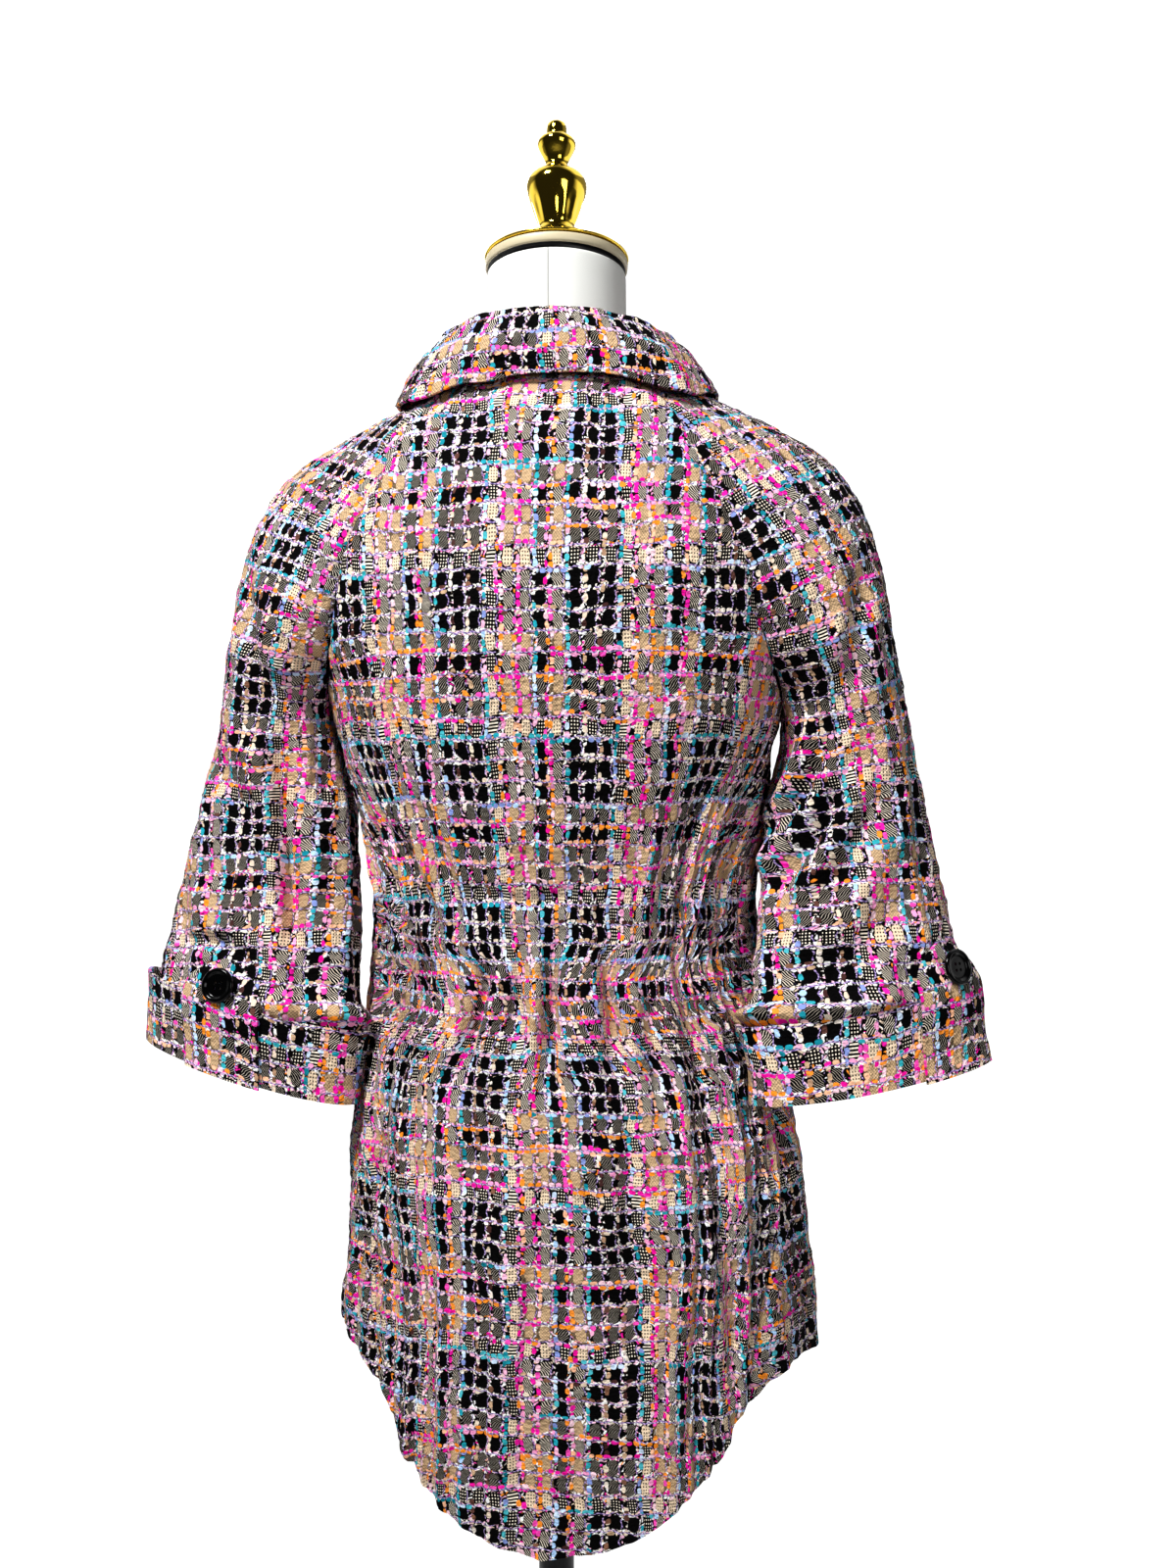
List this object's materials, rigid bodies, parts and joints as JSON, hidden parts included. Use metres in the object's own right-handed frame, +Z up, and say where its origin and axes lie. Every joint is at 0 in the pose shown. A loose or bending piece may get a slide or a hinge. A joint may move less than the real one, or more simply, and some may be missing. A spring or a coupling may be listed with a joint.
{
  "type": "boucle jacket on dress form",
  "caption": "Long boucle shirt jacket with raglan sleeves, turned cuffs, button tabs and a curved tail hem, worn by a limbless dress form on a pole stand.",
  "frame": {"origin": "centre of the stand's underside, on the floor", "axes": "+Z up, +X towards the wearer's left, -Y the jacket's front"},
  "size_m": [0.6175, 0.34, 1.586],
  "materials": {
    "boucle": "multicolour fancy tweed with loops and slubs, matt",
    "black_button": "polished",
    "calico": "plain cover drawn tight, matt",
    "cream_band": "braid, satin",
    "polished_gold": "polished gold colour",
    "black_iron": "black, satin"
  },
  "bodies": {
    "root": {"back": "boucle", "front_left": "boucle", "front_right": "boucle", "sleeve_back_left": "boucle", "sleeve_back_right": "boucle", "sleeve_front_left": "boucle", "sleeve_front_right": "boucle", "collar": "boucle", "cuff_left": "boucle", "cuff_right": "boucle", "tab_left": "boucle", "tab_right": "boucle", "button_cuff_left": "black_button", "button_cuff_right": "black_button", "button_front_1": "black_button", "button_front_2": "black_button", "button_front_3": "black_button", "button_front_4": "black_button", "button_front_5": "black_button", "form_torso": "calico", "neck_cap": "cream_band", "neck_rim": "polished_gold", "finial": "polished_gold", "pole": "black_iron", "pole_socket": "black_iron", "stand_base": "black_iron"}
  },
  "joints": []
}
